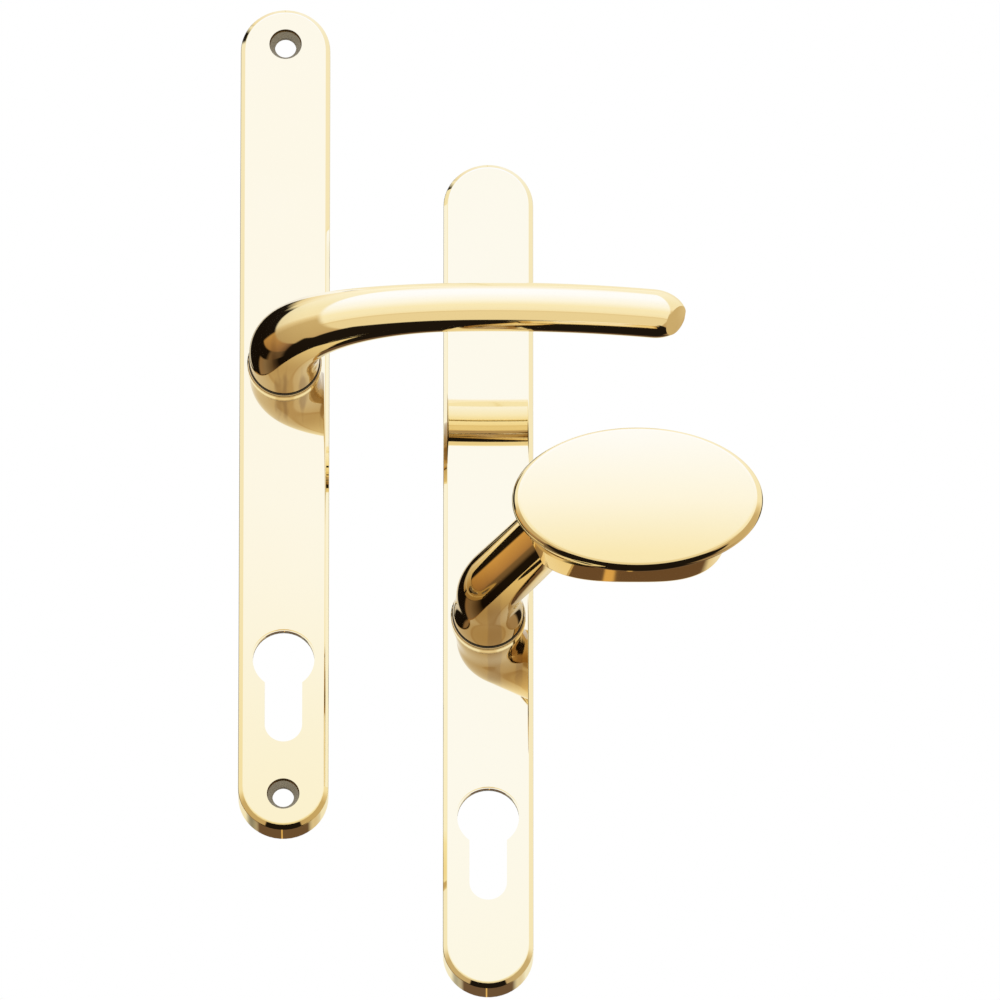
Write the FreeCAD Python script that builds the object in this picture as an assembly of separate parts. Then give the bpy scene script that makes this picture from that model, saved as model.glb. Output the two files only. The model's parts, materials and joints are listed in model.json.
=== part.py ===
import FreeCAD
import Part
import math
import os

# A lever handle and an offset pad handle on long backplates, for a lock whose two
# spindles sit 92 and 62 above its cylinder. All sizes are in millimetres.
# Both stand upright side by side, fronts towards -Y, with their back faces on y = 0
# and the origin on the lever's spindle axis.

# Fits and clearances, how far a cut runs past a face and how deep a foot is set in a wall
press_gap = 0.02
running_gap = 0.05
socket_gap = 0.05
end_gap = 0.05
moving_gap = 0.3
cut_past = 1.0
root_depth = 0.5

# Spindle, spigot and bush, worked from the axis outwards
spindle_width = 8.0
spindle_behind_plate = 45.0
spindle_chamfer = 0.8
socket_depth = 24.0
socket_end_gap = 0.5
spigot_wall = 1.5
spigot_behind_plate = 1.0
flat_depth = 0.93
bush_wall = 1.2
bush_flange_thickness = 0.8
bush_lead_in = 0.4
neck_shoulder = 2.97
flange_overhang = 0.2
collar_rim = 0.4
collar_height = 1.8
collar_edge_radius = 0.4

# Return spring
wire = 1.2
spring_turns = 1.5
spring_bend_radius = 1.25
coil_to_bush = 0.5
coil_to_pocket = 0.25
tang_gap = 0.1

# Drive plate, washer and retaining ring
drive_thickness = 1.3
drive_rim = 0.12
drive_to_wall = 0.5
lug_beyond_rim = 1.6
lug_width = 6.0
lug_corner_radius = 0.6
washer_thickness = 0.5
washer_rim = 0.1
ring_thickness = 0.9
ring_groove_depth = 0.5
ring_groove_play = 0.03
ring_band = 1.9
ring_ear_radius = 1.35
ring_ear_hole_radius = 0.55
ring_opening = 34.0
ring_ear_turn = 10.0
ring_thickening = 0.35
ring_below_back = 0.15

# Backplate
plate_length = 257.0
plate_depth = 8.5
plate_edge_bevel = 1.3
plate_edge_radius = 0.7
plate_side_radius = 0.4
front_wall = 2.2
side_wall = 2.2
spring_pocket_wall = 0.9
cylinder_to_plate_end = 52.5
cylinder_to_lever = 92.0
cylinder_to_pad = 62.0
cylinder_radius = 8.9
cylinder_slot_width = 10.8
cylinder_slot_height = 34.4
cutout_edge = 0.4
screw_to_bottom_end = 10.7
screw_to_top_end = 11.3
screw_radius = 3.1
screw_head_radius = 4.7
screw_head_depth = 1.1
screw_seat_wall = 4.1
screw_boss_radius = 5.9
rib_thickness = 1.2
rib_height = 2.6
rib_pitch = 17.0
rib_clearance = 5.0
stop_width = 2.9
stop_below_back = 0.9
stop_foot = 3.0

# Threaded posts that stand on the back of the pad's plate
post_radius = 4.0
post_behind_plate = 12.0
post_in_plate = 4.0
post_boss_wall = 2.2
post_boss_below_back = 0.6
post_thread_radius = 2.1
post_thread_depth = 11.0
post_chamfer = 0.6

# Lever: elbow up to the grip's crown, then the grip bows back towards the door
neck_straight = 4.8
crown_along = 60.0
crown_depth = 51.6
tip_along = 116.1
tip_return = 7.3
elbow_power = 2.3
grip_half_height = 7.25
grip_half_thickness = 5.7
taper_end = 0.45
nose_length = 9.5
facet_from_nose = 6.4
facet_normal = (0.82, -0.35, -0.45)
lever_down = 35.0
lever_up = 45.0

# Pad: arm bent sideways off the neck, rear body and oval face
arm_straight = 13.3
arm_bend_radius = 26.0
arm_bend = 30.0
arm_turn_up = 14.0
arm_radius = 9.2
arm_flat = 7.5
arm_flat_turn = 70.0
pad_back_depth = 58.7
body_depth = 12.8
body_reach_right = 26.0
body_reach_left = 32.0
body_half_height = 20.5
body_power = 3.0
body_edge_radius = 3.0
body_reveal = 0.5
pad_from_arm_along = 27.5
pad_from_arm_up = 6.0
face_half_length = 36.0
face_half_height = 22.1
face_thickness = 4.4
face_crown = 2.2
face_edge_radius = 2.8
face_overhang = 2.0
face_pin_radius = 2.0
face_pin_length = 6.0
face_pin_spacing = 30.0
pad_down = 35.0
pad_up = 0.0

# Spindle clip: a bowed leaf in a groove of the spindle
clip_width = 3.0
clip_length = 13.0
clip_thickness = 0.35
clip_groove_depth = 0.9
clip_groove_play = 0.1
clip_from_end = 4.0

# Place of the pad handle beside the lever handle, as they lie in the set
handle_spacing = 59.0
pad_plate_drop = 49.0

# Sizes that follow from those above
socket_half = spindle_width / 2 + socket_gap
spigot_radius = socket_half * math.sqrt(2) + spigot_wall
bush_bore = spigot_radius + running_gap
bush_radius = bush_bore + bush_wall
coil_radius = bush_radius + coil_to_bush + wire / 2
coil_outside = coil_radius + wire / 2
pocket_radius = coil_outside + coil_to_pocket
drive_radius = coil_outside + drive_rim
hollow_half = drive_radius + drive_to_wall
plate_half = hollow_half + side_wall
neck_radius = spigot_radius + neck_shoulder
flange_radius = neck_radius + flange_overhang
collar_radius = flange_radius + collar_rim
lug_reach = drive_radius + lug_beyond_rim
flat_half = spigot_radius - flat_depth
pad_z = cylinder_to_pad - cylinder_to_lever - pad_plate_drop
cutter = 2 * plate_length

# Places along Y, from the front of the collar back to the end of the spigot
collar_front = -plate_depth - collar_height
flange_front = collar_front - bush_flange_thickness
neck_back = flange_front - end_gap
hollow_floor = -plate_depth + front_wall
pocket_floor = -plate_depth + spring_pocket_wall
ring_back = -ring_below_back
ring_front = ring_back - ring_thickness
drive_back = ring_front - end_gap
drive_front = drive_back - drive_thickness
washer_back = drive_front - end_gap
washer_front = washer_back - washer_thickness
bush_back = washer_front - end_gap


def vec(x, y, z):
    return FreeCAD.Vector(x, y, z)


def turned(x, z, degrees):
    # Turns a point in the plate's plane; a positive turn is anticlockwise seen from the front.
    a = math.radians(degrees)
    return x * math.cos(a) - z * math.sin(a), x * math.sin(a) + z * math.cos(a)


def disc(radius, front, back, x=0.0, z=0.0):
    return Part.makeCylinder(radius, back - front, vec(x, front, z), vec(0, 1, 0))


def ring(inner, outer, front, back):
    return disc(outer, front, back).cut(disc(inner, front - cut_past, back + cut_past))


def block(x0, x1, y0, y1, z0, z1):
    return Part.makeBox(x1 - x0, y1 - y0, z1 - z0, vec(x0, y0, z0))


def prism(wire_shape, back):
    # Extrudes a flat wire that lies at one y from there to y = back.
    face = Part.Face(wire_shape)
    front = wire_shape.BoundBox.Center.y
    return face.extrude(vec(0, back - front, 0))


def round_ended_bar(half_width, low, high, front, back):
    # Long bar with half-round ends whose tips lie at z = low and z = high.
    bottom = low + half_width
    top = high - half_width
    right = Part.makeLine(vec(half_width, front, bottom), vec(half_width, front, top))
    left = Part.makeLine(vec(-half_width, front, top), vec(-half_width, front, bottom))
    over = Part.Arc(vec(half_width, front, top), vec(0, front, high), vec(-half_width, front, top))
    under = Part.Arc(vec(-half_width, front, bottom), vec(0, front, low), vec(half_width, front, bottom))
    outline = Part.Wire([right, over.toShape(), left, under.toShape()])
    return prism(outline, back)


def edges_at(shape, y):
    # The edges that lie flat at one y.
    flat = []
    for edge in shape.Edges:
        box = edge.BoundBox
        if abs(box.YMin - y) < 1e-4 and abs(box.YMax - y) < 1e-4:
            flat.append(edge)
    return flat


def oval_wire(centre, along, half_side, half_up, power=2.0, points=16, left_share=1.0):
    # Closed smooth outline square to the direction along: a circle, an ellipse or a squarer oval,
    # with its left half drawn out by left_share.
    side = along.cross(vec(0, 0, 1))
    side.normalize()
    up = side.cross(along)
    up.normalize()
    places = []
    for i in range(points):
        a = 2 * math.pi * i / points
        c = math.cos(a)
        s = math.sin(a)
        reach = half_side if c > 0 else half_side * left_share
        u = reach * math.copysign(abs(c) ** (2 / power), c)
        v = half_up * math.copysign(abs(s) ** (2 / power), s)
        places.append(centre + side * u + up * v)
    curve = Part.BSplineCurve()
    curve.interpolate(Points=places, PeriodicFlag=True)
    return Part.Wire([curve.toShape()])


def smooth(t):
    t = min(max(t, 0.0), 1.0)
    return t * t * (3 - 2 * t)


def half_space(point, normal):
    # A large block on the side of a plane that its normal points to.
    slab = Part.makeBox(cutter, cutter, cutter, vec(-cutter / 2, -cutter / 2, 0))
    turn = FreeCAD.Rotation(vec(0, 0, 1), normal)
    slab.Placement = FreeCAD.Placement(point, turn)
    return slab


# Torsion spring round the bush
def arc_between(start, corner, end):
    # Arc that leaves start and reaches end along the lines through their shared corner.
    middle = (start + end) * 0.5
    cosine = (start - middle).Length / (start - corner).Length
    return Part.Arc(start, corner + (middle - corner) * (1 / (1 + cosine)), end)


def biarc(p0, t0, p1, t1):
    # Two arcs that join p0 to p1 and keep the directions t0 and t1.
    v = p1 - p0
    t = t0 + t1
    share = 2 * (1 - t0.dot(t1))
    d = (-v.dot(t) + math.sqrt(v.dot(t) ** 2 + share * v.dot(v))) / share
    corner0 = p0 + t0 * d
    corner1 = p1 - t1 * d
    join = (corner0 + corner1) * 0.5
    return [arc_between(p0, corner0, join), arc_between(join, corner1, p1)]


def spring_parts():
    # The wire's path from its tang in the plate to its tang in the drive plate.
    low = pocket_floor + spring_bend_radius
    high = drive_front - spring_bend_radius
    first = 90.0
    quarters = round(spring_turns * 4)
    sweep = spring_turns * 360.0

    def coil(share):
        a = math.radians(first + sweep * share)
        rise = (high - low) / math.radians(sweep)
        place = vec(coil_radius * math.cos(a), low + (high - low) * share, coil_radius * math.sin(a))
        way = vec(-coil_radius * math.sin(a), rise, coil_radius * math.cos(a))
        way.normalize()
        return place, way

    arcs = []
    for i in range(quarters):
        p0, t0 = coil(i / quarters)
        p1, t1 = coil((i + 1) / quarters)
        arcs.extend(biarc(p0, t0, p1, t1))

    # Each end turns to lie along the axis and runs straight into its hole.
    start, leave = coil(0.0)
    finish, arrive = coil(1.0)
    back = vec(0, 1, 0)
    reach = spring_bend_radius * math.tan(math.acos(leave.dot(back)) / 2)
    corner = start - leave * reach
    plate_end = corner - back * reach
    first_bend = arc_between(plate_end, corner, start)
    far_corner = finish + arrive * reach
    drive_end = far_corner + back * reach
    last_bend = arc_between(finish, far_corner, drive_end)
    plate_tip = plate_end - back * (plate_end.y - pocket_floor + wire)
    drive_tip = drive_end + back * (drive_front + wire - drive_end.y)
    edges = [Part.makeLine(plate_tip, plate_end), first_bend.toShape()]
    edges += [arc.toShape() for arc in arcs]
    edges += [last_bend.toShape(), Part.makeLine(drive_end, drive_tip)]
    return Part.Wire(edges), plate_tip, drive_tip


def return_spring():
    path, plate_tip, _ = spring_parts()
    section = Part.Wire([Part.makeCircle(wire / 2, plate_tip, vec(0, 1, 0))])
    shell = Part.BRepOffsetAPI.MakePipeShell(path)
    shell.add(section)
    shell.build()
    shell.makeSolid()
    return shell.shape()


def spring_self_gap():
    # Least clear distance between stretches of the wire over a quarter turn apart.
    path, _, _ = spring_parts()
    step = 0.25
    count = int(path.Length / step)
    places = path.discretize(Number=count)
    apart = int(coil_radius * math.pi / 2 / step)
    least = path.Length
    for i in range(count):
        for j in range(i + apart, count):
            least = min(least, (places[i] - places[j]).Length - wire)
    return least


# Pieces that turn on the spindle axis
def bush():
    tube = disc(bush_radius, collar_front, bush_back)
    flange = disc(flange_radius, flange_front, collar_front)
    lead_in = Part.makeCone(
        bush_bore + bush_lead_in, bush_bore, bush_lead_in, vec(0, flange_front, 0), vec(0, 1, 0)
    )
    bore = disc(bush_bore, flange_front - cut_past, bush_back + cut_past)
    bored = tube.fuse(flange).cut(bore)
    return bored.cut(lead_in).removeSplitter()


def keyed_disc(radius, front, back, play):
    # Round with two flats, as the spigot and the hole that it drives share.
    half = flat_half + play
    return disc(radius + play, front, back).common(
        block(-half, half, front, back, -radius - cut_past, radius + cut_past)
    )


def drive_plate():
    body = disc(drive_radius, drive_front, drive_back)
    lug = block(-lug_width / 2, lug_width / 2, drive_front, drive_back, 0, lug_reach)
    lug = lug.makeFillet(lug_corner_radius, [e for e in lug.Edges if is_outer_corner(e)])
    plate = body.fuse(lug)
    before = drive_front - cut_past
    behind = drive_back + cut_past
    plate = plate.cut(keyed_disc(spigot_radius, before, behind, running_gap))
    _, _, tang = spring_parts()
    angle = math.degrees(math.atan2(tang.z, tang.x))
    reach = math.hypot(tang.x, tang.z)
    half = wire / 2 + tang_gap
    notch = block(reach, drive_radius + cut_past, before, behind, -half, half)
    notch = notch.fuse(disc(half, before, behind, reach, 0.0))
    notch.rotate(vec(0, 0, 0), vec(0, -1, 0), angle)
    return plate.cut(notch).removeSplitter()


def is_outer_corner(edge):
    box = edge.BoundBox
    return box.YLength > drive_thickness / 2 and box.ZMin > drive_radius


def thrust_washer():
    inner = spigot_radius + running_gap
    return ring(inner, bush_radius + washer_rim, washer_front, washer_back)


def retaining_ring():
    # Ring that is thicker opposite its opening, with an ear and a plier hole at each end.
    inner = spigot_radius - ring_groove_depth + ring_groove_play
    outer = inner + ring_band
    before = ring_front - cut_past
    behind = ring_back + cut_past
    middle = disc(outer, ring_front, ring_back, 0.0, ring_thickening)
    ears = []
    holes = []
    for side in (-1, 1):
        angle = -90 + side * (ring_opening / 2 + ring_ear_turn)
        x, z = turned(inner + ring_ear_radius, 0, angle)
        ears.append(disc(ring_ear_radius, ring_front, ring_back, x, z))
        holes.append(disc(ring_ear_hole_radius, before, behind, x, z))
    x, z = turned(outer * 2, 0, -90 + ring_opening / 2)
    corners = [vec(0, before, 0), vec(x, before, z), vec(-x, before, z), vec(0, before, 0)]
    opening = prism(Part.Wire(Part.makePolygon(corners)), behind)
    solid = middle.fuse(ears).cut(disc(inner, before, behind)).cut(opening)
    return solid.cut(Part.makeCompound(holes)).removeSplitter()


def spigot():
    # Round journal, keyed end and ring groove, as cut into the back of each neck.
    round_part = disc(spigot_radius, neck_back - root_depth, drive_front - end_gap / 2)
    keyed = keyed_disc(spigot_radius, drive_front - end_gap / 2, spigot_behind_plate, 0.0)
    groove = ring(
        spigot_radius - ring_groove_depth,
        spigot_radius + cut_past,
        ring_front - ring_groove_play,
        ring_back + ring_groove_play,
    )
    return round_part.fuse(keyed).cut(groove)


def socket():
    half = socket_half
    return block(-half, half, -socket_depth, spigot_behind_plate + cut_past, -half, half)


def spindle():
    half = spindle_width / 2
    front = -socket_depth + socket_end_gap
    bar = block(-half, half, front, spindle_behind_plate, -half, half)
    ends = edges_at(bar, front) + edges_at(bar, spindle_behind_plate)
    bar = bar.makeChamfer(spindle_chamfer, ends)
    start = front + clip_from_end
    wide = clip_width / 2 + clip_groove_play
    groove = block(
        -wide,
        wide,
        start - clip_groove_play,
        start + clip_length + clip_groove_play,
        half - clip_groove_depth,
        half + cut_past,
    )
    return bar.cut(groove)


def spindle_clip():
    # The leaf's ends stand on the groove's floor and its crown presses on the socket's wall.
    start = -socket_depth + socket_end_gap + clip_from_end
    floor = spindle_width / 2 - clip_groove_depth + press_gap
    crown = socket_half - press_gap
    low = Part.Arc(
        vec(-clip_width / 2, start, floor),
        vec(-clip_width / 2, start + clip_length / 2, crown - clip_thickness),
        vec(-clip_width / 2, start + clip_length, floor),
    )
    high = Part.Arc(
        vec(-clip_width / 2, start + clip_length, floor + clip_thickness),
        vec(-clip_width / 2, start + clip_length / 2, crown),
        vec(-clip_width / 2, start, floor + clip_thickness),
    )
    ends = [
        Part.makeLine(low.EndPoint, high.StartPoint),
        Part.makeLine(high.EndPoint, low.StartPoint),
    ]
    outline = Part.Wire([low.toShape(), ends[0], high.toShape(), ends[1]])
    return Part.Face(outline).extrude(vec(clip_width, 0, 0))


# Backplates
def cylinder_cutout(centre, spread, front, back):
    # Profile-cylinder shape: a circle with a round-ended slot hanging from it.
    half = cylinder_slot_width / 2 + spread
    low = centre + cylinder_radius - cylinder_slot_height - spread
    slot = round_ended_bar(half, low, centre + half, front, back)
    return disc(cylinder_radius + spread, front, back, 0.0, centre).fuse(slot).removeSplitter()


def stop(travel, side):
    # Cast block that the drive plate's lug meets at the end of its travel on one side.
    a = math.radians(travel)
    normal = vec(side * math.cos(a), 0, -math.sin(a))
    inner = drive_radius + moving_gap
    sector = ring(inner, inner + stop_width, hollow_floor - root_depth, -stop_below_back)
    face = normal * (lug_width / 2 + moving_gap)
    sector = sector.common(half_space(face, normal))
    wide = side * plate_half
    span = block(min(0, wide), max(0, wide), hollow_floor - cut_past, 0, stop_foot, cutter)
    return sector.common(span)


def ribs(low, high, blocked):
    # Cross ribs on the hollow's floor, left out near what the plate carries.
    count = int((high - low) / rib_pitch)
    places = [low + (i + 0.5) * (high - low) / count for i in range(count)]
    kept = []
    for z in places:
        near = [1 for a, b in blocked if a - rib_clearance < z < b + rib_clearance]
        if not near:
            half = rib_thickness / 2
            wide = hollow_half + root_depth
            foot = hollow_floor - root_depth
            kept.append(block(-wide, wide, foot, hollow_floor + rib_height, z - half, z + half))
    return kept


def backplate(spindle_height, travel_down, travel_up, screw_holes):
    # Cast plate, hollow behind, drawn with its spindle axis on the origin.
    cylinder = -spindle_height
    low = cylinder - cylinder_to_plate_end
    high = low + plate_length
    plate = round_ended_bar(plate_half, low, high, -plate_depth, 0.0)
    plate = plate.makeChamfer(plate_edge_bevel, edges_at(plate, -plate_depth))
    plate = plate.makeFillet(plate_edge_radius, edges_at(plate, -plate_depth))
    plate = plate.makeFillet(plate_side_radius, edges_at(plate, plate_edge_bevel - plate_depth))
    collar = disc(collar_radius, collar_front, -plate_depth + root_depth)
    collar = collar.makeFillet(collar_edge_radius, edges_at(collar, collar_front))
    plate = plate.fuse(collar)

    # What stands in the hollow: stops, bosses and ribs.
    foot = hollow_floor - root_depth
    before = collar_front - cut_past
    hollow = round_ended_bar(hollow_half, low + side_wall, high - side_wall, hollow_floor, cut_past)
    screws = screw_heights(low)
    slot_low = cylinder + cylinder_radius - cylinder_slot_height
    blocked = [(slot_low, cylinder + cylinder_radius), (-lug_reach, lug_reach)]
    standing = [stop(travel_down, 1), stop(travel_up, -1)]
    boss_radius = screw_boss_radius if screw_holes else post_radius + post_boss_wall
    boss_back = -plate_depth + screw_seat_wall if screw_holes else -post_boss_below_back
    for z in screws:
        standing.append(disc(boss_radius, foot, boss_back, 0.0, z))
        blocked.append((z - boss_radius, z + boss_radius))
    standing += ribs(low, high, blocked)
    kept = standing[0].fuse(standing[1:])
    plate = plate.cut(hollow.cut(kept))

    # Spindle bore, spring pocket and the hole for the spring's fixed tang.
    plate = plate.cut(disc(bush_radius + press_gap, before, cut_past))
    plate = plate.cut(disc(pocket_radius, pocket_floor, hollow_floor + cut_past))
    _, tang, _ = spring_parts()
    tang_hole = disc(wire / 2 + tang_gap, tang.y - tang_gap, pocket_floor + cut_past, tang.x, tang.z)
    plate = plate.cut(tang_hole)

    # Cylinder cut-out with a small bevel round its front edge.
    plate = plate.cut(cylinder_cutout(cylinder, 0.0, before, cut_past))
    bevel = cylinder_cutout(cylinder, cutout_edge, before, -plate_depth + cutout_edge)
    plate = plate.cut(bevel)

    for z in screws:
        if screw_holes:
            cone = screw_head_radius - screw_radius
            seat = -plate_depth + screw_head_depth
            plate = plate.cut(disc(screw_radius, before, cut_past, 0.0, z))
            plate = plate.cut(disc(screw_head_radius, before, seat, 0.0, z))
            plate = plate.cut(
                Part.makeCone(screw_head_radius, screw_radius, cone, vec(0, seat, z), vec(0, 1, 0))
            )
        else:
            bottom = -post_boss_below_back - post_in_plate
            plate = plate.cut(disc(post_radius + press_gap, bottom, cut_past, 0.0, z))
    return plate.removeSplitter()


def screw_heights(low):
    # Where the two screws cross a plate whose lower tip is at low.
    return low + screw_to_bottom_end, low + plate_length - screw_to_top_end


def screw_posts(spindle_height):
    # Two round posts pressed in the plate's bosses, threaded from behind.
    low = -spindle_height - cylinder_to_plate_end
    front = -post_boss_below_back - post_in_plate
    posts = []
    for z in screw_heights(low):
        post = disc(post_radius, front, post_behind_plate, 0.0, z)
        post = post.makeChamfer(post_chamfer, edges_at(post, post_behind_plate))
        floor = post_behind_plate - post_thread_depth
        posts.append(post.cut(disc(post_thread_radius, floor, post_behind_plate + cut_past, 0.0, z)))
    return Part.makeCompound(posts)


# Lever
def grip_centre(t):
    # Centreline of the lever: t from 0 to 0.5 is the elbow, from 0.5 to 1 the bowed grip.
    foot = -neck_back + neck_straight
    if t < 0.5:
        a = math.pi * t
        x = crown_along * (1 - math.cos(a) ** (2 / elbow_power))
        depth = foot + (crown_depth - foot) * math.sin(a) ** (2 / elbow_power)
    else:
        share = 2 * t - 1
        x = crown_along + (tip_along - crown_along) * share
        depth = crown_depth - tip_return * share * share
    return vec(x, -depth, 0)


def grip_way(t):
    step = 0.002
    way = grip_centre(min(t + step, 1.0)) - grip_centre(max(t - step, 0.0))
    way.normalize()
    return way


def lever_arm():
    sections = [oval_wire(vec(0, neck_back, 0), vec(0, -1, 0), neck_radius, neck_radius)]
    foot = vec(0, neck_back - neck_straight, 0)
    sections.append(oval_wire(foot, vec(0, -1, 0), neck_radius, neck_radius))
    nose = (tip_along - nose_length - crown_along) / (tip_along - crown_along)
    nose_t = 0.5 + nose / 2
    stations = [0.07, 0.13, 0.19, 0.26, 0.33, 0.41, 0.5, 0.62, 0.76]
    for t in stations + [nose_t]:
        share = smooth(t / taper_end)
        side = neck_radius + (grip_half_thickness - neck_radius) * share
        up = neck_radius + (grip_half_height - neck_radius) * share
        sections.append(oval_wire(grip_centre(t), grip_way(t), side, up))
    for degrees in (25, 45, 62, 76):
        a = math.radians(degrees)
        t = nose_t + (1 - nose_t) * math.sin(a)
        side = grip_half_thickness * math.cos(a)
        up = grip_half_height * math.cos(a)
        sections.append(oval_wire(grip_centre(t), grip_way(t), side, up))
    grip = Part.makeLoft(sections, True, False)

    # The tip ends in a slanted oval facet.
    normal = vec(*facet_normal)
    normal.normalize()
    facet = grip_centre(nose_t) + normal * facet_from_nose
    grip = grip.cut(half_space(facet, normal))
    return grip.fuse(spigot()).cut(socket()).removeSplitter()


# Pad handle
def arm_run(depth):
    # Length of the arm's straight run past its bend, up to a depth in front of the back face.
    bend = math.radians(arm_bend)
    risen = arm_straight + arm_bend_radius * math.sin(bend)
    return (depth + neck_back - risen) / math.cos(bend)


def pad_centre():
    # The pad sits beside and a little above the place where the arm reaches its back.
    bend = math.radians(arm_bend)
    side = arm_bend_radius * (1 - math.cos(bend)) + arm_run(pad_back_depth) * math.sin(bend)
    x, z = turned(side, 0, arm_turn_up)
    return x + pad_from_arm_along, z + pad_from_arm_up


def arm_bar(top_depth):
    # Neck that narrows to the arm, a bend, and a straight run with a flat along its underside.
    bend = math.radians(arm_bend)
    top = neck_back - arm_straight
    middle = (neck_back + top) / 2
    narrowing = Part.BezierCurve()
    narrowing.setPoles(
        [vec(neck_radius, neck_back, 0), vec(neck_radius, middle, 0), vec(arm_radius, middle, 0), vec(arm_radius, top, 0)]
    )
    profile = Part.Wire([
        Part.makeLine(vec(0, neck_back, 0), vec(neck_radius, neck_back, 0)),
        narrowing.toShape(),
        Part.makeLine(vec(arm_radius, top, 0), vec(0, top, 0)),
        Part.makeLine(vec(0, top, 0), vec(0, neck_back, 0)),
    ])
    neck = Part.Face(profile).revolve(vec(0, 0, 0), vec(0, 1, 0), 360)
    section = Part.Face(Part.Wire([Part.makeCircle(arm_radius, vec(0, top, 0), vec(0, -1, 0))]))
    elbow = section.revolve(vec(arm_bend_radius, top, 0), vec(0, 0, 1), arm_bend)
    along = vec(math.sin(bend), -math.cos(bend), 0)
    foot = vec(arm_bend_radius * (1 - math.cos(bend)), top - arm_bend_radius * math.sin(bend), 0)
    run = Part.makeCylinder(arm_radius, arm_run(top_depth), foot, along)

    # The flat starts at nothing beside the bend and deepens towards the pad.
    turn = math.radians(arm_flat_turn)
    across = vec(math.cos(bend), math.sin(bend), 0)
    normal = across * math.cos(turn) + vec(0, 0, -math.sin(turn))
    deepens = arm_radius + running_gap - arm_flat
    slope = normal * arm_run(pad_back_depth) + along * deepens
    slope.normalize()
    run = run.cut(half_space(foot + normal * (arm_radius + running_gap), slope))
    bar = neck.fuse([elbow, run])
    bar.rotate(vec(0, 0, 0), vec(0, -1, 0), arm_turn_up)
    return bar


def oval_prism(reach, half_height, power, front, back, left_share=1.0):
    x, z = pad_centre()
    middle = vec(x, front, z)
    outline = oval_wire(middle, vec(0, 1, 0), reach, half_height, power, 32, left_share)
    return prism(outline, back)


def pad_arm():
    face_back = -pad_back_depth - body_depth
    arm = arm_bar(-face_back + arm_radius)

    # The arm ends under the face, inside the face's outline.
    under = oval_prism(
        face_half_length - face_overhang,
        face_half_height - face_overhang,
        2.0,
        face_back,
        -pad_back_depth + cut_past,
    )
    behind_pad = block(-cutter, cutter, -pad_back_depth, cut_past, -cutter, cutter)
    arm = arm.common(under.fuse(behind_pad))
    body = oval_prism(
        body_reach_right,
        body_half_height,
        body_power,
        face_back,
        -pad_back_depth,
        body_reach_left / body_reach_right,
    )
    body = body.makeFillet(body_edge_radius, edges_at(body, -pad_back_depth))
    body = body.makeChamfer(body_reveal, edges_at(body, face_back))
    solid = arm.fuse(body).fuse(spigot()).cut(socket())
    x, z = pad_centre()
    for side in (-0.5, 0.5):
        pin = disc(
            face_pin_radius + press_gap,
            face_back - cut_past,
            face_back + face_pin_length + end_gap,
            x + side * face_pin_spacing,
            z,
        )
        solid = solid.cut(pin)
    return solid


def pad_face():
    # Shallow crowned disc, turned round and then drawn in to an oval, with two pins behind.
    back = -pad_back_depth - body_depth
    front = back - face_thickness
    r = face_half_length
    e = face_edge_radius
    crown = (r * r + face_crown * face_crown) / (2 * face_crown)
    rim = math.sqrt(crown * crown - (r - e) ** 2) - (crown - face_crown)
    half = r / 2
    mid = math.sqrt(crown * crown - half * half) - (crown - face_crown)
    lip = front + e
    turned_edges = [
        Part.makeLine(vec(0, back, 0), vec(r - e, back, 0)),
        Part.makeLine(vec(r - e, back, 0), vec(r, back - e * 0.5, 0)),
        Part.makeLine(vec(r, back - e * 0.5, 0), vec(r, lip, 0)),
        Part.Arc(
            vec(r, lip, 0), vec(r - e * 0.3, lip - e * 0.72, 0), vec(r - e, front - rim, 0)
        ).toShape(),
        Part.Arc(
            vec(r - e, front - rim, 0), vec(half, front - mid, 0), vec(0, front - face_crown, 0)
        ).toShape(),
        Part.makeLine(vec(0, front - face_crown, 0), vec(0, back, 0)),
    ]
    lens = Part.Face(Part.Wire(turned_edges)).revolve(vec(0, 0, 0), vec(0, 1, 0), 360)
    squash = FreeCAD.Matrix()
    squash.A33 = face_half_height / face_half_length
    lens = lens.transformGeometry(squash)
    x, z = pad_centre()
    lens.translate(vec(x, 0, z))
    for side in (-0.5, 0.5):
        pin_x = x + side * face_pin_spacing
        pin = disc(face_pin_radius, back - root_depth, back + face_pin_length, pin_x, z)
        lens = lens.fuse(pin)
    return lens.removeSplitter()


# The whole set
def build():
    pieces = {
        "lever_backplate": backplate(cylinder_to_lever, lever_down, lever_up, True),
        "lever_bush": bush(),
        "lever_arm": lever_arm(),
        "pad_backplate": backplate(cylinder_to_pad, pad_down, pad_up, False),
        "pad_bush": bush(),
        "pad_arm": pad_arm(),
        "pad_face": pad_face(),
        "pad_screw_posts": screw_posts(cylinder_to_pad),
    }
    for side in ("lever", "pad"):
        pieces[side + "_washer"] = thrust_washer()
        pieces[side + "_drive_plate"] = drive_plate()
        pieces[side + "_return_spring"] = return_spring()
        pieces[side + "_circlip"] = retaining_ring()
        pieces[side + "_spindle"] = spindle()
        pieces[side + "_spindle_clip"] = spindle_clip()
    for name, shape in pieces.items():
        if name.startswith("pad_"):
            shape.translate(vec(handle_spacing, 0, pad_z))
    return pieces


os.makedirs("parts", exist_ok=True)
for node, piece in build().items():
    piece.exportStep("parts/" + node + ".step")
    print(node, len(piece.Solids), piece.isValid(), round(piece.Volume, 1))
print("least gap of the spring's wire to itself:", round(spring_self_gap(), 2), "mm")
print("plate width:", round(plate_half * 2, 2), "mm, pad spindle height:", round(pad_z, 2), "mm")
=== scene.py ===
"""Dresses a lever handle and an offset pad handle, each on a long backplate, in polished gold."""
import json
import logging
import math
from collections.abc import Iterable, Sequence
from dataclasses import dataclass
from enum import Enum
from typing import Any

import bmesh
import bpy
from mathutils import Matrix, Vector


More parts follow.
